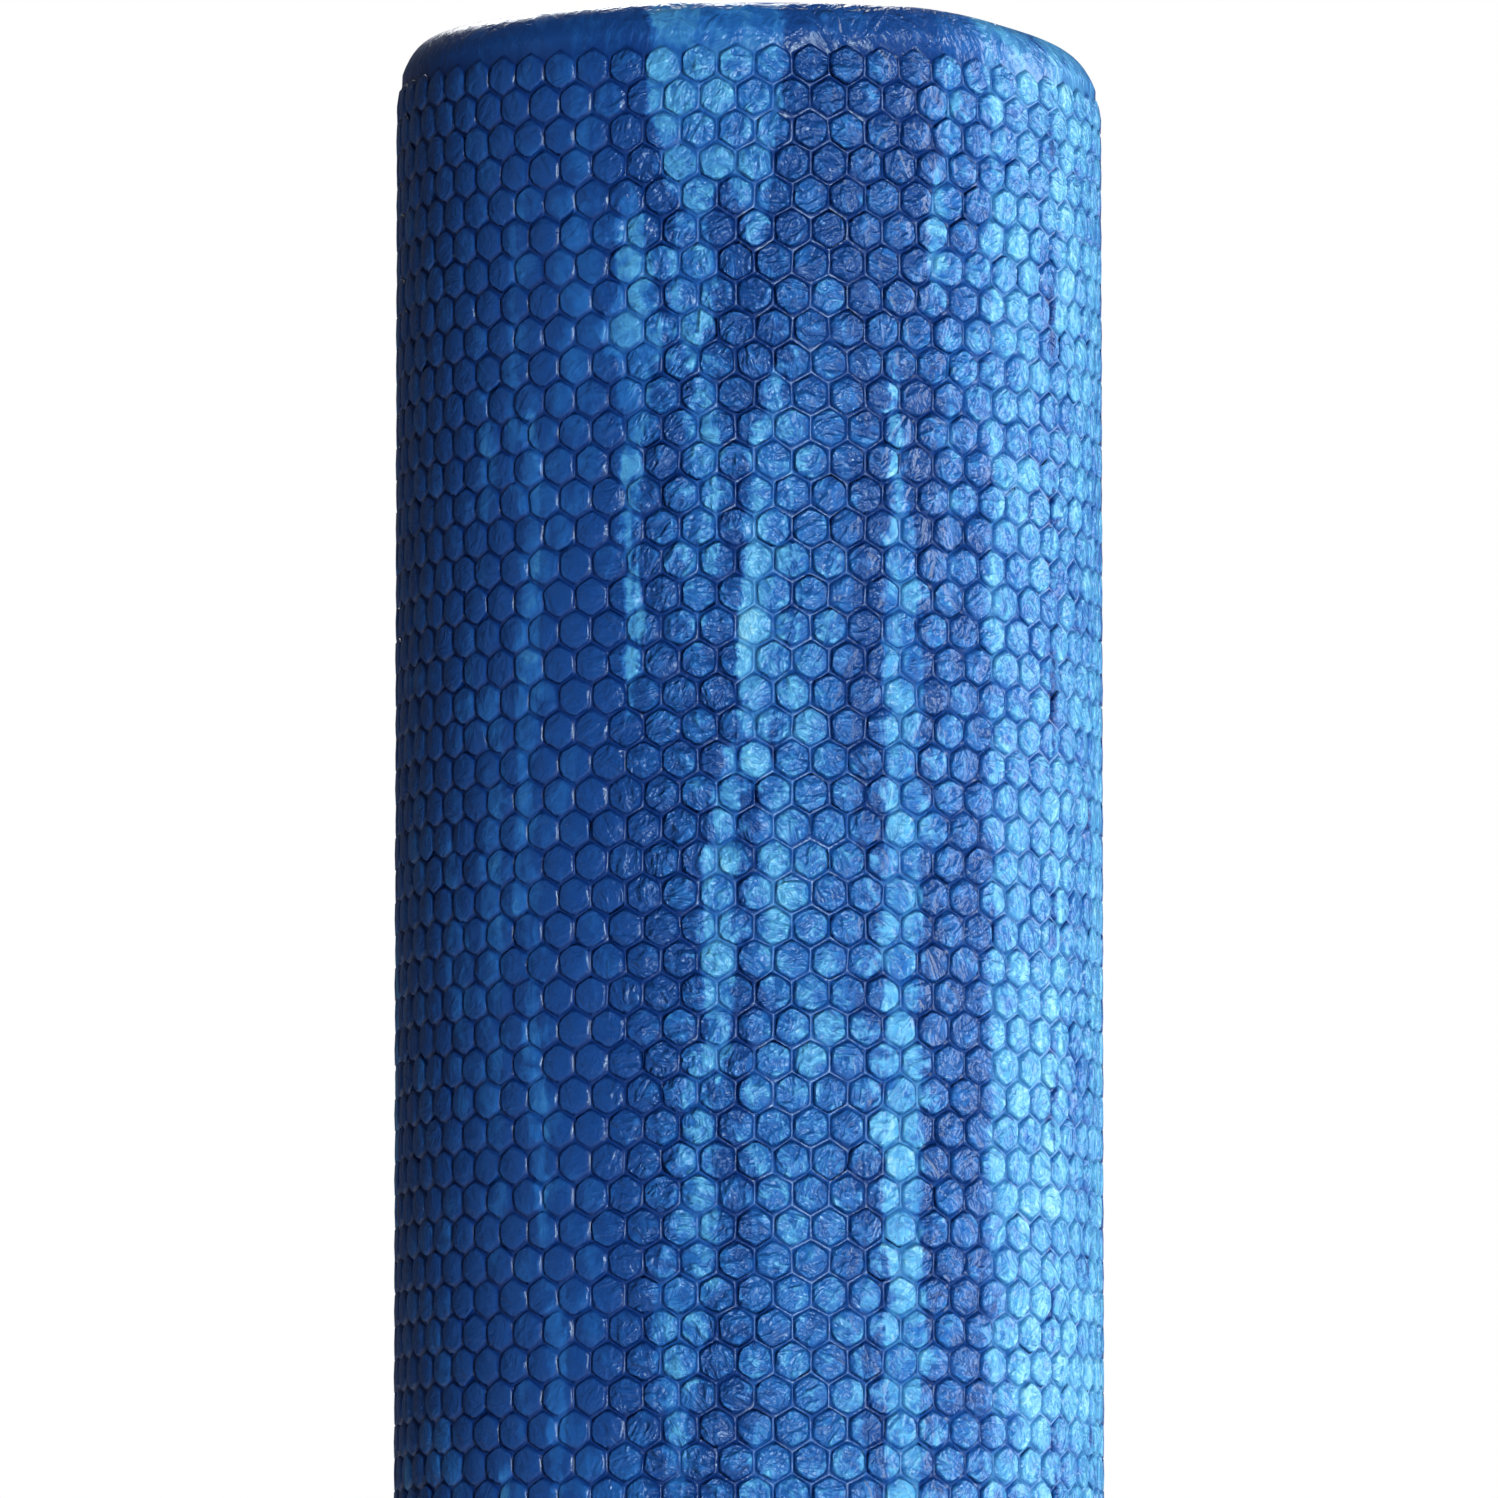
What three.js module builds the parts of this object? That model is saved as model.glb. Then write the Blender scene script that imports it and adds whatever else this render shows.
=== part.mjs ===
// Solid EVA foam roller standing on one end.
// Millimetres, +Z up along the roller, origin at the centre of the lower end face.
//
// The body is foam sheet wound in a spiral round a thin rod, and a thicker skin sheet is wrapped once
// round it. Everything is pressed hot, so the outside is truly round and the two ends are flat.

import * as THREE from "three";

// Driving dimensions
const DIAMETER = 152.4;
const LENGTH = 914.4;
const SHOULDER_INWARD = 8.0;
const SHOULDER_ALONG = 16.0;
const SKIN_THICKNESS = 9.0;
const SHEET_THICKNESS = 6.0;
const ROD_DIAMETER = 20.0;

// Room left between pieces that touch, and the blunt tip of a sheet's skived end
const GLUE_GAP = 0.3;
const SKIVED_TIP = 0.6;

// Facets: the same angles are used on every piece, so that neighbouring facets stay parallel
const FACETS_PER_TURN = 72;
const SHOULDER_FACETS = 6;

// Derived sizes
const OUTER_RADIUS = DIAMETER / 2;
const SKIN_BORE_RADIUS = OUTER_RADIUS - SKIN_THICKNESS;
const WINDING_START_RADIUS = ROD_DIAMETER / 2 + GLUE_GAP;
const WINDING_END_RADIUS = SKIN_BORE_RADIUS - GLUE_GAP;
const WINDING_PITCH = SHEET_THICKNESS + GLUE_GAP;

// Colours
const ROD_BLUE = 0x1b3f86;
const SHEET_BLUE = 0x24509c;
const SKIN_BLUE = 0x1d4596;

function evaFoam(colour) {
  return new THREE.MeshStandardMaterial({ color: colour, roughness: 0.62, metalness: 0.0 });
}

function namedMesh(name, geometry, colour) {
  const mesh = new THREE.Mesh(geometry, evaFoam(colour));
  mesh.name = name;
  return mesh;
}

// Turns a profile of [radius, height] pairs into a solid of revolution about +Z.
function revolve(profile) {
  const points = profile.map(([radius, height]) => new THREE.Vector2(radius, height));
  const geometry = new THREE.LatheGeometry(points, FACETS_PER_TURN);
  geometry.rotateX(Math.PI / 2);
  return geometry;
}

function coreRod() {
  const radius = ROD_DIAMETER / 2;
  return revolve([
    [0, 0],
    [radius, 0],
    [radius, LENGTH],
    [0, LENGTH],
  ]);
}

// Points of the quarter ellipse that rounds an end of the skin, from the end face to the side.
function shoulder() {
  const points = [];
  for (let step = 0; step <= SHOULDER_FACETS; step += 1) {
    const angle = (Math.PI / 2) * (step / SHOULDER_FACETS);
    const radius = OUTER_RADIUS - SHOULDER_INWARD * (1 - Math.sin(angle));
    const depth = SHOULDER_ALONG * (1 - Math.cos(angle));
    points.push([radius, depth]);
  }
  return points;
}

// The skin: a round tube whose outer edges are rounded at both ends.
function skin() {
  const lower = shoulder();
  const upper = shoulder().reverse().map(([radius, depth]) => [radius, LENGTH - depth]);
  const bore = [
    [SKIN_BORE_RADIUS, LENGTH],
    [SKIN_BORE_RADIUS, 0],
  ];
  return revolve([...lower, ...upper, ...bore, lower[0]]);
}

// Radius of the spiral's inner side after a number of turns, before it meets the rod.
function spiralRadius(turns) {
  return WINDING_START_RADIUS + WINDING_PITCH * (turns - 1);
}

// The first turn is skived on its inner side so that it lies flat on the round rod.
function innerRadius(turns) {
  return Math.max(spiralRadius(turns), WINDING_START_RADIUS);
}

// The last turn is skived on its outer side so that the wound body is round.
function outerRadius(turns) {
  return Math.min(spiralRadius(turns) + SHEET_THICKNESS, WINDING_END_RADIUS);
}

// Turns from the spiral's zero to a radius of its inner side.
function turnsAtRadius(radius) {
  return 1 + (radius - WINDING_START_RADIUS) / WINDING_PITCH;
}

// Radius of the middle of the sheet's thickness after a number of turns.
function middleRadius(turns) {
  return spiralRadius(turns) + SHEET_THICKNESS / 2;
}

function pointOnTurn(turns, radius) {
  const angle = 2 * Math.PI * turns;
  return new THREE.Vector2(radius * Math.cos(angle), radius * Math.sin(angle));
}

// Positions along the winding at which the outline has a corner: both ends and every facet between.
function facetTurns(startTurns, endTurns) {
  const turns = [startTurns];
  const first = Math.floor(startTurns * FACETS_PER_TURN) + 1;
  const last = Math.ceil(endTurns * FACETS_PER_TURN) - 1;
  for (let facet = first; facet <= last; facet += 1) {
    turns.push(facet / FACETS_PER_TURN);
  }
  turns.push(endTurns);
  return turns;
}

// One foam sheet, wound from one number of turns to another and as long as the roller.
function woundSheet(startTurns, endTurns) {
  const turns = facetTurns(startTurns, endTurns);
  const outerSide = turns.map((turn) => pointOnTurn(turn, outerRadius(turn)));
  const innerSide = turns.map((turn) => pointOnTurn(turn, innerRadius(turn))).reverse();
  const outline = new THREE.Shape([...outerSide, ...innerSide]);
  return new THREE.ExtrudeGeometry(outline, { depth: LENGTH, bevelEnabled: false });
}

// Where the winding starts, where it ends, and the butt joints that cut it into sheets of equal length.
// The length wound up to a radius grows with the square of that radius.
function sheetSpans(sheetCount) {
  const start = turnsAtRadius(WINDING_START_RADIUS + SKIVED_TIP - SHEET_THICKNESS);
  const end = turnsAtRadius(WINDING_END_RADIUS - SKIVED_TIP);
  const firstSquare = middleRadius(start) ** 2;
  const lastSquare = middleRadius(end) ** 2;
  const spans = [];
  let from = start;
  for (let sheet = 1; sheet <= sheetCount; sheet += 1) {
    const middle = Math.sqrt(firstSquare + (lastSquare - firstSquare) * (sheet / sheetCount));
    const to = sheet === sheetCount ? end : turnsAtRadius(middle - SHEET_THICKNESS / 2);
    spans.push([from, to]);
    from = to + GLUE_GAP / (2 * Math.PI * spiralRadius(to));
  }
  return spans;
}

function buildRoller() {
  const sheetNames = ["inner_sheet", "middle_sheet", "outer_sheet"];
  const spans = sheetSpans(sheetNames.length);
  const roller = new THREE.Group();
  roller.name = "foam_roller";
  roller.add(namedMesh("core_rod", coreRod(), ROD_BLUE));
  sheetNames.forEach((name, index) => {
    roller.add(namedMesh(name, woundSheet(...spans[index]), SHEET_BLUE));
  });
  roller.add(namedMesh("skin", skin(), SKIN_BLUE));
  return roller;
}

export default buildRoller();
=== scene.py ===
"""Looks for the solid foam roller: embossed marbled skin, wound foam body, studio light and camera.

Metres, in the CAD's frame: +Z up along the roller, the photographed side faces -Y.
Angles round the roller are in degrees from the photographed side, positive towards +X.
Depths are distances down from the upper end.
"""

import math

import bpy
import numpy as np
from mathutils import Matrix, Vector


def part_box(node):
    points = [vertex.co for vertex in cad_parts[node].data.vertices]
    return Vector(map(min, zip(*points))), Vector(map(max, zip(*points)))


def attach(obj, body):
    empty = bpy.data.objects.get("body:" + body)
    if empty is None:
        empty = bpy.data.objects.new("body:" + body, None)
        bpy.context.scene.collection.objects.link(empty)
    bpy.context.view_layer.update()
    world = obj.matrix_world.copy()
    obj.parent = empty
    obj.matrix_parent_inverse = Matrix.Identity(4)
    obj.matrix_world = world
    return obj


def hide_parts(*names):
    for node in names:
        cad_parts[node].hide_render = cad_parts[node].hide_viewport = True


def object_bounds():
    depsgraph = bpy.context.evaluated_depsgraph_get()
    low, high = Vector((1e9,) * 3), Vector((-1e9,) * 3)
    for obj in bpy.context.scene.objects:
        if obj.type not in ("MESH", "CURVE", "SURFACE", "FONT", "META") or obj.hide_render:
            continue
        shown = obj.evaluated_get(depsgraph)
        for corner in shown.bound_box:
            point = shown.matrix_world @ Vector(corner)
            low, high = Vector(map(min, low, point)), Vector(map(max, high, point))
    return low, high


MM = 0.001
SEED = 7

# Skin: the same rounded shoulder as the CAD, and the embossed honeycomb
SHOULDER_INWARD = 8.0 * MM
SHOULDER_ALONG = 16.0 * MM
SKIN_THICKNESS = 9.0 * MM
CELLS_ROUND = 60
ROW_PITCH = 7.02 * MM
FIRST_ROW_DEPTH = 14.2 * MM
LAST_ROW_MARGIN = 13.7 * MM
FIRST_ROW_ANGLE = -2.1
GROOVE_DEPTH = 0.95 * MM
BEVEL_DEPTH = 0.86 * MM
CROWN_DEPTH = 0.14 * MM
CROWN_SCALE, CROWN_CUT = 0.80, 0.22
BEVEL_SCALE, BEVEL_CUT = 0.925, 0.14
CROWN_FLATNESS = 0.6
BEVEL_STEEPNESS = 0.7

# The relief grows from nothing to its full depth between these distances from an end
RELIEF_FADE = (7.5 * MM, 10.5 * MM)

# Steps of half a cell round the roller
HALF_STEPS = 2 * CELLS_ROUND

# Points of one cell: its centre, the ring round its top, and the ring at the foot of its bevel
RING_POINTS = 12
CELL_POINTS = 1 + 2 * RING_POINTS

# Depth at which a groove's painted shade begins, and the share of that painted shade left along its bottom
GROOVE_FROM = 0.3 * MM
LATTICE_SHADE = 0.65

# The plain end begins this many rows outside the middle of the first and the last row
PLAIN_FROM_ROWS = 0.75

# Unevenness of the embossing, as standard deviations. The lattice's is in half cells across and
# rows down, the rings' in cells across and rows down, and the rest are depths.
LATTICE_WOBBLE = 0.035
RING_WOBBLE = 0.016
GROOVE_DEPTH_WOBBLE = 0.06 * MM
RING_DEPTH_WOBBLE = 0.03 * MM
CELL_DEPTH_WOBBLE = 0.05 * MM

# Both ends are slightly lumpy, and the upper one droops more and more between these distances to +X
END_UNEVENNESS = 0.5 * MM
SAG = 4.2 * MM
SAG_ACROSS = (34 * MM, 86 * MM)
SAG_DEPTH = 40 * MM

# The skin's flat layout: width and height in metres, margin at each end, and step for each end ring
SKIN_LAYOUT = (0.491, 0.954)
LAYOUT_MARGIN = 20 * MM
LAYOUT_RING_STEP = 1.3 * MM

# The skin is crumpled between these angles, in degrees, with a gradual change over each pair.
# Outside them, as on the left of the photographed side, this share of the crumpling is left.
CREASED_FROM = (-29, -9)
CREASED_TO = (140, 175)
LEAST_CREASED = 0.18

# Wound body: 6 mm sheet on a thin rod, turns 0.3 mm apart, as in the CAD
SHEET_THICKNESS = 6.0 * MM
GLUE_GAP = 0.3 * MM
SKIVED_TIP = 0.6 * MM
STEPS_PER_TURN = 120
EDGE_ROUNDING = 0.8 * MM

# Camera: distances in metres, pitch in degrees, lens in mm
CAMERA_DISTANCE = 3.094
CAMERA_BELOW_TOP = 0.4239
CAMERA_PITCH = 5.007
CAMERA_LENS = 346.8

# Colours, scene linear
DEEP = (0.006, 0.045, 0.195)
ROYAL = (0.013, 0.103, 0.345)
SKY = (0.070, 0.305, 0.540)
PALE = (0.250, 0.540, 0.670)
# Painted shade: what is left of each colour where the painted shade of grooves, bore and edges is full
GROOVE_SHADE = (0.25, 0.38, 0.57)
GLOSS_TINT = (0.72, 0.93, 1.0, 1.0)
WHITE = (1.0, 1.0, 1.0)

# The stage: share of the floor that shines by itself for the camera, and the world's fill for the foam
FLOOR_GLOW = 0.8
WORLD_FILL = 0.075
FLOOR_HALF_WIDTH = 15.0

# Light streaks of the marbling on the photographed side, which run along the roller:
# (angle at the upper tip, angle at the lower tip, half width in degrees, from depth, to depth in mm, tone)
FRONT_STREAKS = [
    (-10.0, -9.0, 9.2, -60, 52, 0.75),
    (0.5, 1.0, 5.0, -60, 54, 0.70),
    (-18.5, -19.0, 4.4, 38, 100, 0.62),
    (-9.0, -9.0, 5.0, 40, 80, 0.55),
    (-19.0, -19.3, 1.7, 90, 155, 0.85),
    (-7.0, -8.0, 3.0, 75, 135, 0.45),
    (4.0, 1.0, 3.8, 78, 165, 0.75),
    (1.5, 0.5, 2.4, 98, 170, 0.95),
    (-3.0, -6.0, 2.8, 158, 230, 0.80),
    (3.5, 4.0, 2.6, 160, 215, 0.65),
    (-7.5, -10.0, 3.2, 222, 300, 0.50),
    (-13.0, -11.5, 2.6, 262, 320, 0.55),
    (23.3, 24.5, 1.4, 78, 112, 0.80),
    (25.2, 25.2, 3.4, 100, 420, 0.76),
    (37.5, 37.0, 6.0, -60, 480, 0.30),
    (34.0, 34.0, 2.0, 4, 42, 0.75),
    (32.0, 31.5, 1.6, 34, 66, 0.70),
    (34.5, 34.0, 1.5, 60, 135, 0.60),
    (50.0, 50.0, 8.6, -60, 460, 0.74),
    (66.0, 65.5, 7.5, -60, 520, 0.84),
    (78.5, 79.0, 6.5, -60, 400, 0.86),
    (38.5, 38.5, 1.3, 250, 305, 0.60),
    (12.0, 12.5, 6.5, 55, 150, 0.34),
    (10.0, 9.0, 9.5, 130, 430, 0.38),
    (-38.0, -38.0, 2.6, 85, 208, 0.42),
    (-37.0, -35.0, 2.2, 205, 262, 0.46),
    (-47.0, -47.0, 3.0, 80, 110, 0.38),
    (-46.0, -45.5, 2.6, 135, 270, 0.36),
    (-56.0, -54.0, 4.2, 175, 220, 0.38),
    (-40.0, -41.5, 1.5, 35, 105, 0.38),
    (-33.0, -32.0, 1.6, 270, 325, 0.40),
]
STREAK_SOFTNESS = 4.0 * MM

# A streak narrows to its tip over this many of its half widths
STREAK_TAPER = 5

# Random streaks tried for the rest of the roller, in the same units. Those that would start inside
# the photographed angles and depths are left out.
RANDOM_STREAKS = 250
RANDOM_RUN = (40, 330)
RANDOM_HALF_WIDTHS = [1.4, 2.2, 3.2, 5.5, 8.0]
RANDOM_WIDTH_ODDS = [0.3, 0.3, 0.2, 0.12, 0.08]
PHOTOGRAPHED_ANGLE, PHOTOGRAPHED_DEPTH = 84, 300


# ---------------------------------------------------------------- small geometry helpers


def on_cylinder(angle, radius, height):
    """Points at angles in degrees from the photographed side."""
    a = np.radians(angle)
    return np.stack([radius * np.sin(a), -radius * np.cos(a), height], axis=-1)


def wander(x, wavelength, rng):
    """A smooth, repeatable wavy line through x, between about -1 and 1."""
    total = np.zeros_like(x, dtype=float)
    for octave in range(3):
        phase, stretch = rng.uniform(0, 2 * math.pi), rng.uniform(0.8, 1.25)
        total += np.sin(2 * math.pi * x * stretch * 2**octave / wavelength + phase) / 1.6**octave
    return total / 2.0


def smoothstep(low, high, x):
    t = np.clip((x - low) / (high - low), 0, 1)
    return t * t * (3 - 2 * t)


def sag_upper_end(points, length):
    """Lowers the upper end towards +X, where its edge droops."""
    share = smoothstep(*SAG_ACROSS, points[..., 0])
    fade = 1 - smoothstep(0, SAG_DEPTH, length - points[..., 2])
    points[..., 2] -= SAG * share * fade


def grid_faces(rows, columns, closed):
    """Quads of a grid of rows x columns points, joined round its columns where closed."""
    last = columns if closed else columns - 1
    i, j = np.meshgrid(np.arange(rows - 1), np.arange(last), indexing="ij")
    k = (j + 1) % columns
    quads = np.stack([i * columns + j, (i + 1) * columns + j, (i + 1) * columns + k, i * columns + k], -1)
    return quads.reshape(-1, 4)


def make_object(name, points, faces, attributes, uv):
    """A smooth mesh object from face arrays, with point attributes and a flat layout for its maps.

    uv gives, for one face array, the two coordinates of every corner.
    """
    loops = np.concatenate([f.ravel() for f in faces])
    sizes = np.concatenate([np.full(len(f), f.shape[1]) for f in faces])
    mesh = bpy.data.meshes.new(name)
    mesh.vertices.add(len(points))
    mesh.vertices.foreach_set("co", points.astype(np.float32).ravel())
    mesh.loops.add(len(loops))
    mesh.loops.foreach_set("vertex_index", loops.astype(np.int32))
    mesh.polygons.add(len(sizes))
    mesh.polygons.foreach_set("loop_start", (np.cumsum(sizes) - sizes).astype(np.int32))
    mesh.polygons.foreach_set("use_smooth", np.ones(len(sizes), bool))
    layer = mesh.uv_layers.new(name="OFBake")
    corners = np.concatenate([uv(f).reshape(-1, 2) for f in faces])
    layer.data.foreach_set("uv", corners.astype(np.float32).ravel())
    for key, values in attributes.items():
        attribute = mesh.attributes.new(key, "FLOAT", "POINT")
        attribute.data.foreach_set("value", values.astype(np.float32))
    mesh.update(calc_edges=True)
    mesh.validate()
    piece = bpy.data.objects.new(name, mesh)
    bpy.context.scene.collection.objects.link(piece)
    return piece


# ---------------------------------------------------------------- marbling


def random_streaks(rng, length):
    """Streaks like the photographed ones for the rest of the roller."""
    streaks = []
    for _ in range(RANDOM_STREAKS):
        angle, start = rng.uniform(-180, 180), rng.uniform(-60, length / MM)
        if abs(angle) < PHOTOGRAPHED_ANGLE and start < PHOTOGRAPHED_DEPTH:
            continue
        end = start + rng.uniform(*RANDOM_RUN)
        half_width = rng.choice(RANDOM_HALF_WIDTHS, p=RANDOM_WIDTH_ODDS)
        low_angle = angle + rng.uniform(-2, 2)
        tone = rng.uniform(0.3, 1.0)
        streaks.append((angle, low_angle, half_width, start, end, tone))
    return streaks


def marbling(angle, depth, radius, streaks, rng):
    """How far inside the strongest light streak there each point lies, from 0 to 1, and its tone."""
    best = np.zeros(len(angle))
    tone = np.zeros(len(angle))
    metres_per_degree = math.pi * radius / 180
    for top_angle, low_angle, half_width, start, end, strength in streaks:
        share = np.clip((depth - start * MM) / ((end - start) * MM), 0, 1)
        middle = top_angle + (low_angle - top_angle) * share + 0.5 * wander(depth, 0.11, rng)
        across = (angle - middle + 180) % 360 - 180
        from_tip = np.minimum(depth - start * MM, end * MM - depth)
        taper = np.clip(from_tip / (STREAK_TAPER * half_width * metres_per_degree), 0, 1) ** 0.5
        width = half_width * taper * (1 + 0.22 * wander(depth, 0.045, rng))
        inside = np.clip(0.5 + (width - np.abs(across)) * metres_per_degree / STREAK_SOFTNESS, 0, 1)
        inside = np.where(from_tip > 0, inside, 0)
        stronger = inside * (0.6 + 0.4 * strength) > best * (0.6 + 0.4 * tone)
        best = np.where(stronger, inside, best)
        tone = np.where(stronger, strength, tone)
    return best, tone


# ---------------------------------------------------------------- skin


def side_radius(distance_from_end, outer_radius):
    """Radius of the smooth outside: straight, then a quarter ellipse over the shoulder."""
    share = np.clip(1 - distance_from_end / SHOULDER_ALONG, 0, 1)
    return outer_radius - SHOULDER_INWARD * (1 - np.sqrt(1 - share**2))


def hexagon():
    """Corners of one cell in shares of its pitch, clockwise from the upper one: (across, down)."""
    tall, half = 2 / 3, 1 / 3
    return np.array([(0, -tall), (0.5, -half), (0.5, half), (0, tall), (-0.5, half), (-0.5, -half)])


def rounded_ring(scale, cut):
    """Twelve points of a smaller cell outline whose corners are cut off."""
    corners = hexagon() * scale
    points = []
    for k in range(6):
        here, before, after = corners[k], corners[k - 1], corners[(k + 1) % 6]
        points += [here + cut * (before - here), here + cut * (after - here)]
    return np.array(points)


def lattice_points(rows, rng):
    """The zigzag lines between the rows, as (steps of half a cell round, depth, sink)."""
    step = np.arange(HALF_STEPS)
    lines = []
    for k in range(rows + 1):
        above = FIRST_ROW_DEPTH + (k - 1) * ROW_PITCH
        belongs_above = (step - (k - 1)) % 2 == 0
        depth = np.where(belongs_above, above + ROW_PITCH * 2 / 3, above + ROW_PITCH / 3)
        across, down = rng.normal(0, LATTICE_WOBBLE, (2, HALF_STEPS))
        sink = GROOVE_DEPTH + rng.normal(0, GROOVE_DEPTH_WOBBLE, HALF_STEPS)
        lines.append(np.stack([step + across, depth + down * ROW_PITCH, sink], -1))
    return np.concatenate(lines)


def cell_points(row, centre_step, rng):
    """Every cell's own points, in the same terms as the lattice's."""
    count = len(row)
    centre_depth = FIRST_ROW_DEPTH + row * ROW_PITCH
    outline = np.concatenate([rounded_ring(CROWN_SCALE, CROWN_CUT), rounded_ring(BEVEL_SCALE, BEVEL_CUT)])
    sink = np.repeat([CROWN_DEPTH, BEVEL_DEPTH], RING_POINTS)
    jitter = rng.normal(0, RING_WOBBLE, (count, 2 * RING_POINTS, 2))
    cell = np.empty((count, CELL_POINTS, 3))
    cell[:, 0] = np.stack([centre_step, centre_depth, np.zeros(count)], -1)
    cell[:, 1:, 0] = centre_step[:, None] + 2 * (outline[:, 0] + jitter[..., 0])
    cell[:, 1:, 1] = centre_depth[:, None] + ROW_PITCH * (outline[:, 1] + jitter[..., 1])
    cell[:, 1:, 2] = sink + rng.normal(0, RING_DEPTH_WOBBLE, (count, 2 * RING_POINTS))
    cell[:, :, 2] += np.abs(rng.normal(0, CELL_DEPTH_WOBBLE, (count, 1)))
    return cell.reshape(-1, 3)


def cell_corners(row, centre_step):
    """The lattice points at each cell's six corners, clockwise from the upper one."""
    around = [(0, 0), (0, 1), (1, 1), (1, 0), (1, -1), (0, -1)]
    corners = [(row + line) * HALF_STEPS + (centre_step + step) % HALF_STEPS for line, step in around]
    return np.stack(corners, -1)


def cell_faces(centres, corners):
    """Triangles and quads of every cell: its top, its bevel, and the groove out to the lattice."""
    ring = np.arange(RING_POINTS)
    crown = centres[:, None] + 1 + ring
    bevel = crown + RING_POINTS
    triangles, quads = [], []
    for k in range(RING_POINTS):
        n = (k + 1) % RING_POINTS
        triangles.append(np.stack([centres, crown[:, n], crown[:, k]], -1))
        quads.append(np.stack([crown[:, k], crown[:, n], bevel[:, n], bevel[:, k]], -1))
    for k in range(6):
        n = (k + 1) % 6
        first, second, third = bevel[:, 2 * k], bevel[:, 2 * k + 1], bevel[:, 2 * n]
        triangles.append(np.stack([first, second, corners[:, k]], -1))
        quads.append(np.stack([second, third, corners[:, n], corners[:, k]], -1))
    return np.concatenate(triangles), np.concatenate(quads)


def skin_cells(rows, rng):
    """Points of the lattice and then of the cells, the faces between them, and the cells' centres."""
    row, column = np.meshgrid(np.arange(rows), np.arange(CELLS_ROUND), indexing="ij")
    row, column = row.ravel(), column.ravel()
    centre_step = 2 * column + row % 2
    lattice = lattice_points(rows, rng)
    cells = cell_points(row, centre_step, rng)
    centres = len(lattice) + CELL_POINTS * np.arange(len(row))
    triangles, quads = cell_faces(centres, cell_corners(row, centre_step))
    return np.concatenate([lattice, cells]), triangles, quads, centres


def end_rings(outer_radius, edge_depth):
    """(radius, depth) of the rings from the honeycomb's edge over the shoulder and into the bore."""
    bore = outer_radius - SKIN_THICKNESS
    start = math.acos(1 - edge_depth / SHOULDER_ALONG)
    rings = []
    for share in np.linspace(0, 1, 10)[1:]:
        turn = start * (1 - share)
        rings.append(
            (outer_radius - SHOULDER_INWARD * (1 - math.sin(turn)), SHOULDER_ALONG * (1 - math.cos(turn)))
        )
    rings += [(bore + 0.5 * MM, 0.0), (bore + 0.12 * MM, 0.15 * MM), (bore, 0.6 * MM)]
    return rings


def honeycomb_band(points, cell_count, outer_radius, length, rng):
    """The honeycomb's points, with what the material and the flat layout need to know at each."""
    steps, depth, sink = points.T
    lattice_count = len(points) - CELL_POINTS * cell_count
    near_end = np.minimum(depth, length - depth)
    fade = smoothstep(*RELIEF_FADE, near_end)
    # Painted shade: darkest down the bevels, less along the groove bottoms, none on the tops, fading out
    # near the ends
    painted_shade = smoothstep(GROOVE_FROM, BEVEL_DEPTH, sink) * fade
    painted_shade[:lattice_count] *= LATTICE_SHADE
    cell = np.full(len(points), 0.5)
    cell[lattice_count:] = np.repeat(rng.uniform(0, 1, cell_count), CELL_POINTS)
    return {
        "steps": steps,
        "radius": side_radius(near_end, outer_radius) - sink * fade,
        "depth": depth,
        "painted_shade": painted_shade,
        "cell": cell,
        "cell_top": 1 - 0.85 * smoothstep(2 * CROWN_DEPTH, 0.8 * BEVEL_DEPTH, sink * fade),
        "along": depth,
    }


def end_band(side, edge, previous, base, lumps, outer_radius, length):
    """One end from the honeycomb into the bore: its rings, their faces, and the last ring's points.

    side is 1 at the upper end and -1 at the lower one, and edge is how far from it the plain skin begins.
    """
    bore_edge = outer_radius - SKIN_THICKNESS + 0.3 * MM
    bands, faces = [], []
    travelled = edge
    for ring_radius, ring_depth in end_rings(outer_radius, edge):
        uneven = ring_depth + lumps * (1 - ring_depth / edge)
        travelled -= LAYOUT_RING_STEP
        along = travelled if side == 1 else length - travelled
        bands.append(
            {
                "steps": np.arange(HALF_STEPS, dtype=float),
                "radius": np.full(HALF_STEPS, ring_radius),
                "depth": uneven if side == 1 else length - uneven,
                # painted shade inside the bore, none on the plain end
                "painted_shade": np.full(HALF_STEPS, 0.5 if ring_radius < bore_edge else 0.0),
                "cell": np.full(HALF_STEPS, 0.5),
                "cell_top": np.full(HALF_STEPS, 0.5),
                "along": np.full(HALF_STEPS, along),
            }
        )
        here = base + np.arange(HALF_STEPS)
        loop = ring_faces(previous, here)
        faces.append(loop if side == 1 else loop[:, ::-1])
        previous = here
        base += HALF_STEPS
    return bands, faces, previous


def ring_faces(first, second):
    """Quads between two closed rings of points."""
    return np.stack([first, np.roll(first, -1), np.roll(second, -1), second], -1)


def creased_share(angle, cell_top):
    """How crumpled each point is: less in the grooves and where the skin is smooth."""
    turned = (angle + 180) % 360 - 180
    zone = smoothstep(*CREASED_FROM, turned) * (1 - smoothstep(*CREASED_TO, turned))
    return cell_top * (LEAST_CREASED + (1 - LEAST_CREASED) * zone)


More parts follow.
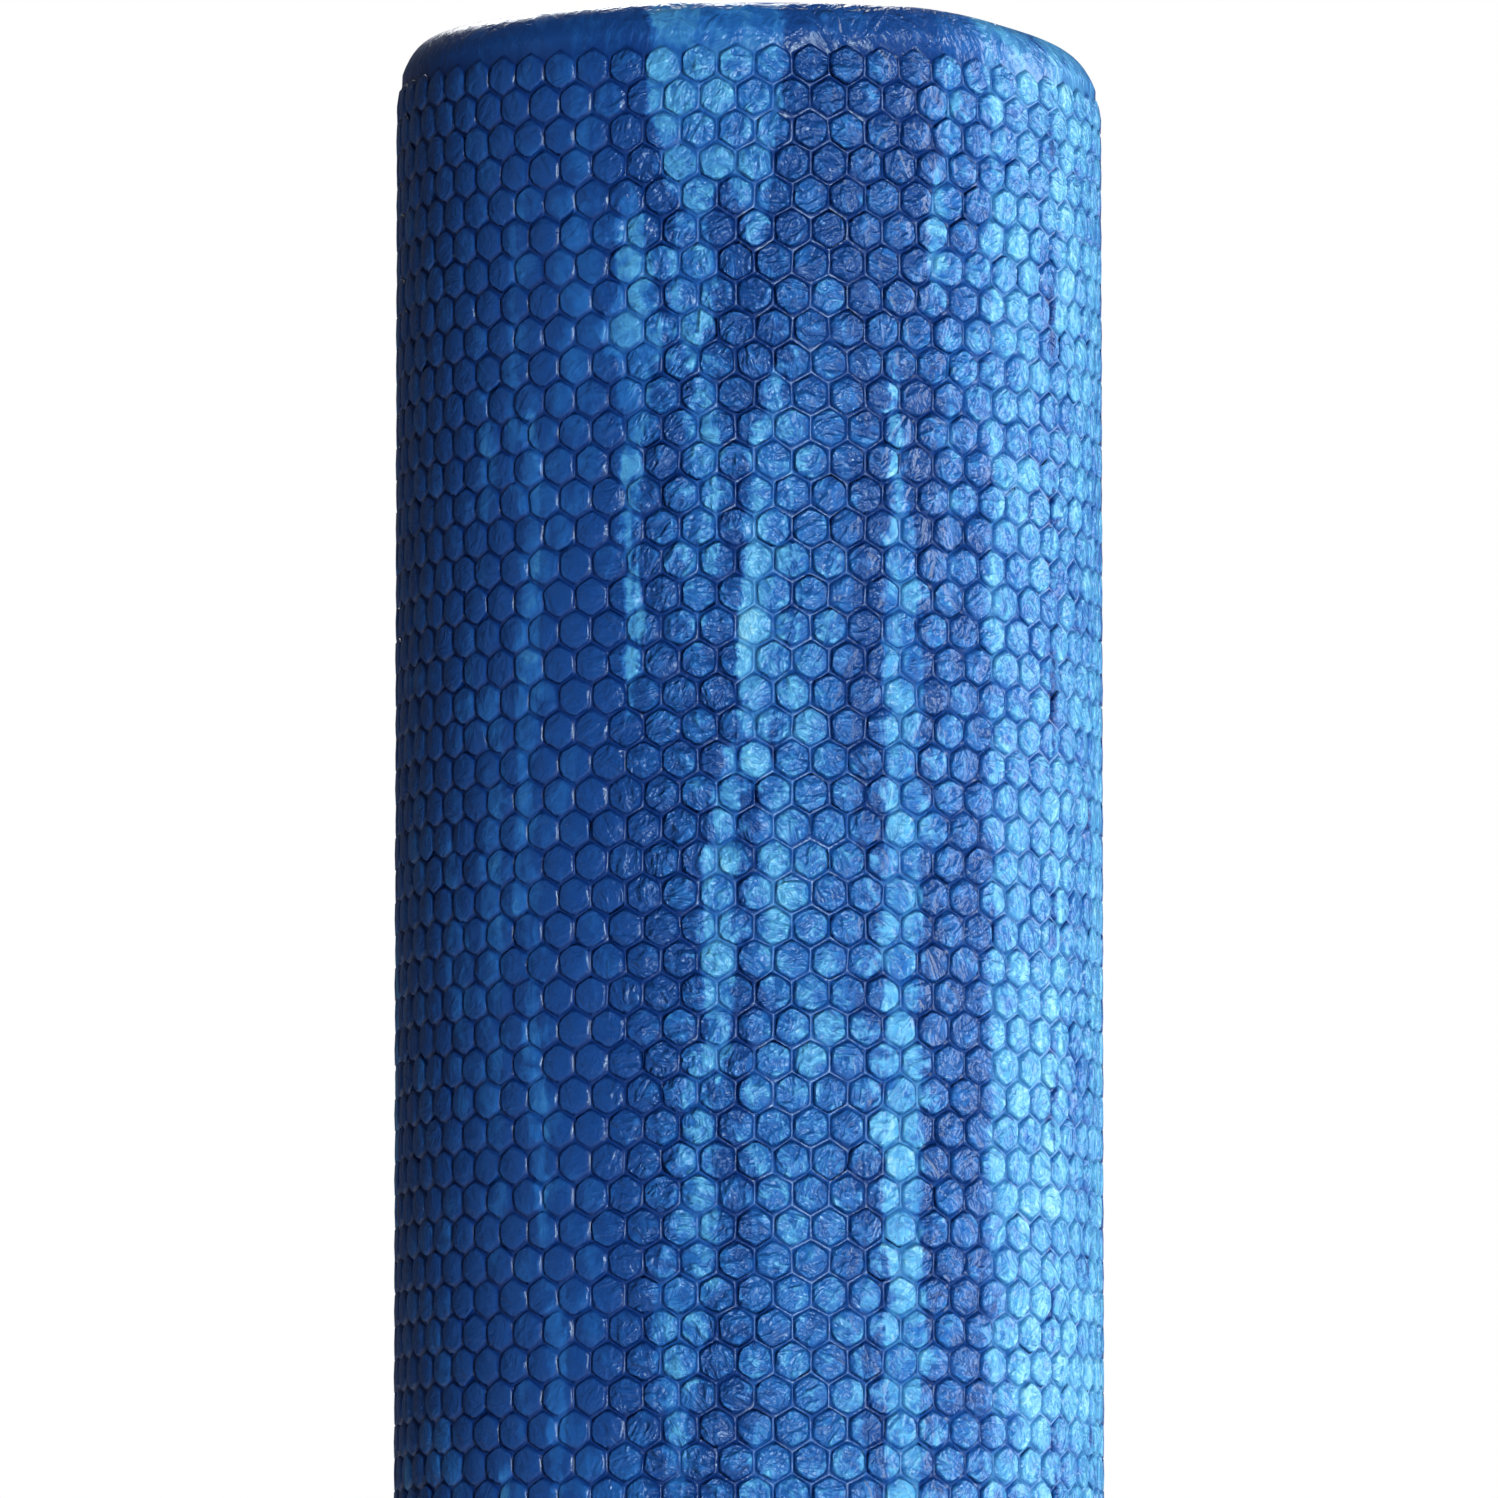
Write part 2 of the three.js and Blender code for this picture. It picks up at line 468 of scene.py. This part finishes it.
def build_skin():
    """The embossed skin: the honeycomb, a plain rounded band at each end, and the bore between them."""
    low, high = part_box("skin")
    outer_radius, length = high.x, high.z
    rng = np.random.default_rng(SEED)
    rows = int((length - FIRST_ROW_DEPTH - LAST_ROW_MARGIN) / ROW_PITCH) + 1
    points, triangles, quads, centres = skin_cells(rows, rng)
    bands = [honeycomb_band(points, len(centres), outer_radius, length, rng)]
    faces = [quads]

    top_edge = FIRST_ROW_DEPTH - PLAIN_FROM_ROWS * ROW_PITCH
    low_edge = length - FIRST_ROW_DEPTH - (rows - 1 + PLAIN_FROM_ROWS) * ROW_PITCH
    turn = np.sin(np.radians(3 * np.arange(HALF_STEPS)))
    lumps = END_UNEVENNESS * (1 + wander(turn * 0.4, 0.3, rng)) / 2
    base = len(points)
    bores = []
    for side, edge, first in ((1, top_edge, 0), (-1, low_edge, rows * HALF_STEPS)):
        start = first + np.arange(HALF_STEPS)
        rings, loops, bore = end_band(side, edge, start, base, lumps, outer_radius, length)
        bands += rings
        faces += loops
        bores.append(bore)
        base += HALF_STEPS * len(rings)
    faces.append(ring_faces(*bores))
    skin = {key: np.concatenate([band[key] for band in bands]) for key in bands[0]}

    angle = FIRST_ROW_ANGLE - 180 + skin["steps"] * (360 / HALF_STEPS)
    position = on_cylinder(angle, skin["radius"], length - skin["depth"])
    sag_upper_end(position, length)
    streaks = FRONT_STREAKS + random_streaks(rng, length)
    streak, tone = marbling(angle, skin["depth"], outer_radius, streaks, rng)
    attributes = {
        "streak": streak,
        "tone": tone,
        "painted_shade": skin["painted_shade"],
        "cell": skin["cell"],
        "creased": creased_share(angle, skin["cell_top"]),
    }

    def uv(faces):
        across = skin["steps"][faces]
        wraps = across.max(1, keepdims=True) - across > HALF_STEPS / 2
        u = (np.where(wraps, across + HALF_STEPS, across) + 1) / (HALF_STEPS + 3)
        v = (skin["along"][faces] + LAYOUT_MARGIN) / (length + 2 * LAYOUT_MARGIN)
        return np.stack([u, 1 - v], -1)

    piece = make_object("honeycomb_skin", position, [triangles, np.concatenate(faces)], attributes, uv)
    sharpen_cells(piece.data, centres)
    return piece


def sharpen_cells(mesh, centres):
    """Bends the shading of each cell so that its top looks flat and its sides steep."""
    normals = np.empty(len(mesh.vertices) * 3)
    mesh.vertices.foreach_get("normal", normals)
    normals = normals.reshape(-1, 3)
    middle = normals[centres][:, None]
    for first, share in ((1, CROWN_FLATNESS), (1 + RING_POINTS, -BEVEL_STEEPNESS)):
        ring = centres[:, None] + first + np.arange(RING_POINTS)
        bent = normals[ring] * (1 - share) + middle * share
        normals[ring] = bent / np.linalg.norm(bent, axis=-1, keepdims=True)
    mesh.normals_split_custom_set_from_vertices(normals)


# ---------------------------------------------------------------- wound body


def sheet_profile(inner, outer, low, high):
    """One cross-section of a sheet, as (radius, height) pairs round it, with soft crowned ends."""
    edge = min(EDGE_ROUNDING, 0.4 * (outer - inner))
    middle = (inner + outer) / 2
    upper = [
        (outer, high - edge),
        (outer - 0.3 * edge, high - 0.4 * edge),
        (outer - edge, high - 0.12 * edge),
        (middle, high),
        (inner + edge, high - 0.12 * edge),
        (inner + 0.3 * edge, high - 0.4 * edge),
        (inner, high - edge),
    ]
    lower = [(radius, low + high - height) for radius, height in reversed(upper)]
    return upper + lower


def winding(rod_radius, bore_radius, sheet_count):
    """First and last number of turns of each sheet, with the joints that make them equally long."""
    start_radius, end_radius = rod_radius + GLUE_GAP, bore_radius - GLUE_GAP
    pitch = SHEET_THICKNESS + GLUE_GAP

    def turns_at(radius):
        return 1 + (radius - start_radius) / pitch

    first = start_radius + SKIVED_TIP - SHEET_THICKNESS
    last = end_radius - SKIVED_TIP
    first_square = (first + SHEET_THICKNESS / 2) ** 2
    last_square = (last + SHEET_THICKNESS / 2) ** 2
    spans = []
    begin = turns_at(first)
    for sheet in range(1, sheet_count + 1):
        middle = math.sqrt(first_square + (last_square - first_square) * sheet / sheet_count)
        joint = middle - SHEET_THICKNESS / 2
        end = turns_at(joint)
        spans.append((begin, end))
        begin = end + GLUE_GAP / (2 * math.pi * joint)
    return spans


def build_sheet(node, span, rod_radius, bore_radius, rng):
    """One wound sheet between its two numbers of turns, marbled along its run."""
    low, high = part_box(node)
    start_radius, end_radius = rod_radius + GLUE_GAP, bore_radius - GLUE_GAP
    pitch = SHEET_THICKNESS + GLUE_GAP
    count = int((span[1] - span[0]) * STEPS_PER_TURN) + 2
    turns = np.linspace(span[0], span[1], count)
    spiral = start_radius + pitch * (turns - 1)
    inner = np.maximum(spiral, start_radius)
    outer = np.minimum(spiral + SHEET_THICKNESS, end_radius)
    profiles = np.array([sheet_profile(a, b, low.z, high.z) for a, b in zip(inner, outer)])
    around = profiles.shape[1]
    # the CAD counts turns from +X, and this script's angles start at -Y
    angle = np.repeat(turns[:, None] * 360 + 90, around, axis=1)
    points = on_cylinder(angle, profiles[..., 0], profiles[..., 1]).reshape(-1, 3)
    sag_upper_end(points, high.z)

    quads = grid_faces(count, around, closed=True)
    first_cap = np.arange(around)[None, :]
    last_cap = (count - 1) * around + np.arange(around)[::-1][None, :]

    run = np.cumsum(np.r_[0, np.diff(turns) * 2 * math.pi * (spiral[1:] + SHEET_THICKNESS / 2)])
    across = (profiles[..., 0] - inner[:, None]) / np.maximum(outer - inner, MM)[:, None]
    wave = wander(run, 0.16, rng)[:, None] + 0.5 * wander(across * 0.01 + run[:, None], 0.035, rng)
    streak = smoothstep(-0.2, 0.9, wave).ravel()
    tone = (0.55 + 0.35 * wander(run, 0.31, rng))[:, None] * np.ones((1, around))
    # painted shade at the sheet's inner and outer edges, where the turns meet
    painted_shade = smoothstep(0.38, 0.5, np.abs(across - 0.5)).ravel()

    def uv(faces):
        column = faces % around
        line = faces // around
        column = np.where(column.max(1, keepdims=True) - column > around / 2, column + around, column)
        return np.stack([line / count, column / (around + 1)], -1)

    attributes = {
        "streak": streak,
        "tone": tone.ravel(),
        "painted_shade": painted_shade,
        "cell": np.full(len(points), 0.5),
        "creased": 1 - painted_shade,
    }
    return make_object(node + "_wound", points, [quads, first_cap, last_cap], attributes, uv)


def build_rod():
    """The rod on which the winding starts, with softly rounded ends and a shallow dimple in each."""
    low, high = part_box("core_rod")
    radius, edge = high.x, EDGE_ROUNDING
    upper = [
        (0.0005 * radius, high.z - 0.5 * MM),
        (0.35 * radius, high.z - 0.4 * MM),
        (0.7 * radius, high.z - 0.1 * MM),
        (radius - edge, high.z),
        (radius - 0.3 * edge, high.z - 0.3 * edge),
        (radius, high.z - edge),
    ]
    lower = [(r, low.z + high.z - z) for r, z in reversed(upper)]
    profile = np.array(upper + lower)
    rows, columns = len(profile), 60
    angle = np.repeat((np.arange(columns) * 360 / columns)[None, :], rows, axis=0)
    height = np.repeat(profile[:, 1][:, None], columns, axis=1)
    radii = np.repeat(profile[:, 0][:, None], columns, axis=1)
    points = on_cylinder(angle, radii, height).reshape(-1, 3)
    quads = grid_faces(rows, columns, closed=True)
    top_cap = np.arange(columns)[None, :]
    low_cap = (rows - 1) * columns + np.arange(columns)[::-1][None, :]
    # painted shade round the rod's rim, where the first turn meets it
    painted_shade = smoothstep(0.86, 1.0, radii / radius).ravel()
    rng = np.random.default_rng(SEED + 9)
    streak = smoothstep(0.0, 1.0, wander(points[:, 0] + 0.6 * points[:, 1], 0.012, rng))

    def uv(faces):
        column, line = faces % columns, faces // columns
        column = np.where(column.max(1, keepdims=True) - column > columns / 2, column + columns, column)
        return np.stack([column / (columns + 1), line / rows], -1)

    attributes = {
        "streak": streak,
        "tone": np.full(len(points), 0.45),
        "painted_shade": painted_shade,
        "cell": np.full(len(points), 0.5),
        "creased": 1 - painted_shade,
    }
    return make_object("core_rod_soft", points, [quads, top_cap, low_cap], attributes, uv)


# ---------------------------------------------------------------- material


class Nodes:
    """Short calls for building a node tree."""

    def __init__(self, tree):
        self.tree = tree
        tree.nodes.clear()

    def add(self, kind, inputs=None, **settings):
        node = self.tree.nodes.new(kind)
        for key, value in settings.items():
            setattr(node, key, value)
        for key, value in (inputs or {}).items():
            if isinstance(value, bpy.types.NodeSocket):
                self.tree.links.new(value, node.inputs[key])
            else:
                node.inputs[key].default_value = value
        return node

    def math(self, operation, a, b=0.0):
        return self.add("ShaderNodeMath", {0: a, 1: b}, operation=operation).outputs[0]

    def step(self, value, low, high):
        """0 below low and 1 above high, with a smooth rise between."""
        inputs = {"Value": value, "From Min": low, "From Max": high}
        node = self.add("ShaderNodeMapRange", inputs, interpolation_type="SMOOTHSTEP")
        return node.outputs["Result"]

    def sum(self, value, *terms):
        """value plus each (socket, weight, offset) as socket x weight + offset."""
        for socket, weight, offset in terms:
            term = self.add("ShaderNodeMath", {0: socket, 1: weight, 2: offset}, operation="MULTIPLY_ADD")
            value = self.math("ADD", value, term.outputs[0])
        return value

    def strokes(self, flat, scale):
        """Short soft strokes whose direction changes from patch to patch, as on crumpled skin."""
        patches = self.add("ShaderNodeTexVoronoi", {"Vector": flat, "Scale": scale * 0.3})
        turn = self.math("MULTIPLY", patches.outputs["Color"], 2 * math.pi)
        inputs = {"Vector": flat, "Angle": turn}
        turned = self.add("ShaderNodeVectorRotate", inputs, rotation_type="Z_AXIS").outputs["Vector"]
        stretched = self.add("ShaderNodeMapping", {"Vector": turned, "Scale": (1.0, 0.5, 1.0)})
        field = self.noise(stretched.outputs["Vector"], scale, detail=2.0, distortion=0.5)
        return self.step(field, 0.31, 0.69)

    def attribute(self, name):
        return self.add("ShaderNodeAttribute", attribute_name=name).outputs["Fac"]

    def noise(self, vector, scale, detail=4.0, roughness=0.55, distortion=0.0):
        inputs = {
            "Vector": vector,
            "Scale": scale,
            "Detail": detail,
            "Roughness": roughness,
            "Distortion": distortion,
        }
        return self.add("ShaderNodeTexNoise", inputs).outputs["Fac"]

    def ramp(self, value, stops):
        node = self.add("ShaderNodeValToRGB", {"Fac": value})
        elements = node.color_ramp.elements
        while len(elements) < len(stops):
            elements.new(0.5)
        for element, (place, colour) in zip(elements, stops):
            element.position = place
            element.color = (*colour, 1.0)
        return node.outputs["Color"]


def flat_place(n, flat_size):
    """Where a point lies in the piece's flat layout, in metres."""
    layout = n.add("ShaderNodeUVMap", uv_map="OFBake").outputs["UV"]
    return n.add("ShaderNodeMapping", {"Vector": layout, "Scale": (*flat_size, 1.0)}).outputs["Vector"]


def light_foam(n, streak, tone, torn, blots, creases):
    """Where the light foam lies, with a torn and blotched edge, in the tone of each streak."""
    edge = n.sum(streak, (torn, 0.30, -0.15), (blots, 0.24, -0.12), (creases, 0.16, -0.08))
    return n.math("MULTIPLY", n.step(edge, 0.25, 0.75), tone)


def foam_shader(n, colour, relief, crease_height, roughness, torn):
    """Foam raised by its creases, with a gloss that varies with its torn marks."""
    bump = n.add("ShaderNodeBump", {"Strength": 1.0, "Distance": crease_height, "Height": relief})
    gloss = n.math("ADD", roughness, n.math("MULTIPLY", n.math("SUBTRACT", torn, 0.5), 0.10))
    inputs = {
        "Base Color": colour,
        "Roughness": gloss,
        "Normal": bump.outputs["Normal"],
        "IOR": 1.39,
        "Specular Tint": GLOSS_TINT,
    }
    return n.add("ShaderNodeBsdfPrincipled", inputs).outputs["BSDF"]


def foam_material(name, crease_height, roughness, flat_size=None):
    """Marbled closed-cell foam: light streaks on blue, torn hair-fine marks, crumpled surface, with
    painted shade in its grooves and painted light and shade on its crumples.

    flat_size is the width and height in metres of the piece's flat layout, where the creases follow it.
    """
    material = bpy.data.materials.new(name)
    material.use_nodes = True
    n = Nodes(material.node_tree)
    place = n.add("ShaderNodeTexCoord").outputs["Object"]
    drawn_out = n.add("ShaderNodeMapping", {"Vector": place, "Scale": (1.0, 1.0, 0.14)}).outputs["Vector"]
    flat = flat_place(n, flat_size) if flat_size else place

    streak, tone, painted_shade = n.attribute("streak"), n.attribute("tone"), n.attribute("painted_shade")
    cell, creased = n.attribute("cell"), n.attribute("creased")
    torn = n.step(n.noise(drawn_out, 230.0, detail=6.0, roughness=0.65, distortion=0.8), 0.34, 0.66)
    cloud = n.noise(drawn_out, 60.0, detail=4.0, roughness=0.6, distortion=0.6)
    blots = n.step(n.noise(place, 190.0, detail=3.0, roughness=0.6, distortion=0.8), 0.32, 0.68)
    creases = n.math("MULTIPLY", n.strokes(flat, 310.0), creased)
    fine_creases = n.math("MULTIPLY", n.strokes(flat, 760.0), creased)
    # painted light and shade of the crumples: the colour is made lighter on the crease ridges, besides
    # their bump
    painted_crumple_shading = n.math("MULTIPLY", creases, n.math("ADD", n.math("MULTIPLY", fine_creases, 0.5), 0.5))

    light = light_foam(n, streak, tone, torn, blots, creases)
    ground = n.math("MULTIPLY", n.step(cloud, 0.33, 0.72), 0.24)
    # the light foam partly hides the creases and weakens the painted shade in the grooves
    covered = n.math("SUBTRACT", 1.0, n.math("MULTIPLY", light, 0.5))
    painted_crumple_shading = n.math("MULTIPLY", painted_crumple_shading, covered)
    level = n.sum(ground, (light, 0.62, 0.0), (torn, 0.10, -0.05), (blots, 0.18, -0.09))
    # painted crumple light and shade, and the fine creases' too, in the colour, and a little darker where
    # crumpled
    level = n.sum(level, (cell, 0.20, -0.13), (painted_crumple_shading, 0.37, 0.0), (fine_creases, 0.12, 0.0))
    level = n.sum(level, (creased, -0.04, -0.13))
    colour = n.ramp(level, [(0.0, DEEP), (0.32, ROYAL), (0.68, SKY), (1.0, PALE)])
    # painted shade of the grooves, the bore and the edges, weaker under light foam
    shadow = n.math("MULTIPLY", painted_shade, covered)
    shade = n.ramp(shadow, [(0.0, WHITE), (1.0, GROOVE_SHADE)])
    shaded = n.add("ShaderNodeVectorMath", {0: colour, 1: shade}, operation="MULTIPLY").outputs["Vector"]

    relief = n.math("MULTIPLY", n.sum(creases, (fine_creases, 0.30, 0.0)), covered)
    shader = foam_shader(n, shaded, relief, crease_height, roughness, torn)
    n.add("ShaderNodeOutputMaterial", {"Surface": shader})
    return material


def floor_material():
    """Plain pale floor with a faint uneven gloss, mostly shining by itself where the camera sees it."""
    material = bpy.data.materials.new("pale_floor")
    material.use_nodes = True
    n = Nodes(material.node_tree)
    place = n.add("ShaderNodeTexCoord").outputs["Object"]
    cloud = n.noise(place, 3.0, detail=6.0)
    colour = n.ramp(cloud, [(0.3, (0.86, 0.86, 0.85)), (0.7, (0.89, 0.89, 0.88))])
    gloss = n.math("ADD", 0.5, n.math("MULTIPLY", cloud, 0.15))
    shader = n.add("ShaderNodeBsdfPrincipled", {"Base Color": colour, "Roughness": gloss})
    glow = n.add("ShaderNodeEmission", {"Color": colour, "Strength": 1.0})
    seen = n.add("ShaderNodeLightPath").outputs["Is Camera Ray"]
    share = n.math("MULTIPLY", seen, FLOOR_GLOW)
    mix = n.add("ShaderNodeMixShader", {0: share, 1: shader.outputs["BSDF"], 2: glow.outputs[0]})
    n.add("ShaderNodeOutputMaterial", {"Surface": mix.outputs[0]})
    return material


# ---------------------------------------------------------------- studio


def build_floor():
    far = FLOOR_HALF_WIDTH
    corners = [(-far, -far, 0), (far, -far, 0), (far, far, 0), (-far, far, 0)]
    mesh = bpy.data.meshes.new("floor")
    mesh.from_pydata(corners, [], [(0, 1, 2, 3)])
    floor = bpy.data.objects.new("floor", mesh)
    bpy.context.scene.collection.objects.link(floor)
    floor.data.materials.append(floor_material())


def build_world():
    """White for the camera, as behind the photographed roller, and a weak even fill for the foam."""
    world = bpy.data.worlds.new("studio")
    bpy.context.scene.world = world
    world.use_nodes = True
    n = Nodes(world.node_tree)
    fill = n.add("ShaderNodeBackground", {"Color": (0.86, 0.90, 1.0, 1.0), "Strength": WORLD_FILL})
    white = n.add("ShaderNodeBackground", {"Color": (*WHITE, 1.0), "Strength": 1.0})
    seen = n.add("ShaderNodeLightPath").outputs["Is Camera Ray"]
    mix = n.add("ShaderNodeMixShader", {0: seen, 1: fill.outputs[0], 2: white.outputs[0]})
    n.add("ShaderNodeOutputWorld", {"Surface": mix.outputs[0]})


def add_light(name, bearing, distance, height, width, tall, watts, target_height):
    """A soft rectangular lamp at a bearing in degrees from the photographed side, aimed at the roller."""
    data = bpy.data.lights.new(name, "AREA")
    data.shape = "RECTANGLE"
    data.size, data.size_y = width, tall
    data.energy = watts
    lamp = bpy.data.objects.new(name, data)
    lamp.location = on_cylinder(np.array(bearing), distance, np.array(height))
    lamp.rotation_mode = "QUATERNION"
    aim = Vector((0, 0, target_height)) - lamp.location
    lamp.rotation_quaternion = aim.to_track_quat("-Z", "Y")
    lamp.visible_camera = False
    bpy.context.scene.collection.objects.link(lamp)


def build_lights(length):
    """Four lamps, the first three aimed at the upper part and the last at the upper end."""
    upper_part = 0.7 * length
    # name, bearing, distance, height, width, tall, watts, height aimed at
    add_light("right_window", 105, 1.3, 0.80, 0.45, 1.8, 26, upper_part)
    add_light("front_softbox", 20, 2.2, 0.76, 0.24, 1.1, 60, upper_part)
    add_light("left_fill", -75, 2.4, 1.1, 1.2, 1.6, 1.4, upper_part)
    add_light("back_softbox", 190, 1.9, 2.4, 1.0, 1.0, 34, length)


def build_camera(length):
    data = bpy.data.cameras.new("camera")
    data.sensor_width = 36.0
    data.lens = CAMERA_LENS
    camera = bpy.data.objects.new("camera", data)
    camera.location = (0, -CAMERA_DISTANCE, length - CAMERA_BELOW_TOP)
    camera.rotation_euler = (math.radians(90 + CAMERA_PITCH), 0, 0)
    bpy.context.scene.collection.objects.link(camera)
    bpy.context.scene.camera = camera


# ---------------------------------------------------------------- assembly


def add_foam_piece(piece, node, material):
    piece.data.materials.append(material)
    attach(piece, "root")
    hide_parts(node)


def build_roller():
    rod_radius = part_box("core_rod")[1].x
    bore_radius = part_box("skin")[1].x - SKIN_THICKNESS
    skin_foam = foam_material("skin_foam", 1.10 * MM, 0.31, flat_size=SKIN_LAYOUT)
    sheet_foam = foam_material("sheet_foam", 0.12 * MM, 0.58)
    rod_foam = foam_material("rod_foam", 0.12 * MM, 0.60)
    add_foam_piece(build_skin(), "skin", skin_foam)
    names = ["inner_sheet", "middle_sheet", "outer_sheet"]
    rng = np.random.default_rng(SEED + 1)
    for node, span in zip(names, winding(rod_radius, bore_radius, len(names))):
        sheet = build_sheet(node, span, rod_radius, bore_radius, rng)
        add_foam_piece(sheet, node, sheet_foam)
    add_foam_piece(build_rod(), "core_rod", rod_foam)


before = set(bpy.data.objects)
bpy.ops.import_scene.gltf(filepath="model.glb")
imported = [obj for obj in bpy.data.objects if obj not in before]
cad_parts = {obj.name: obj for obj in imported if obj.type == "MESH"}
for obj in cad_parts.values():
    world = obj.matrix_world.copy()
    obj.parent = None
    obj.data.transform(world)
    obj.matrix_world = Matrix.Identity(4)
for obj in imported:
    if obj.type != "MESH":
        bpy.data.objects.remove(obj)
cad_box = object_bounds()
length = cad_box[1].z
build_camera(length)
build_roller()
build_floor()
build_world()
build_lights(length)
bpy.context.scene.view_settings.view_transform = "Standard"
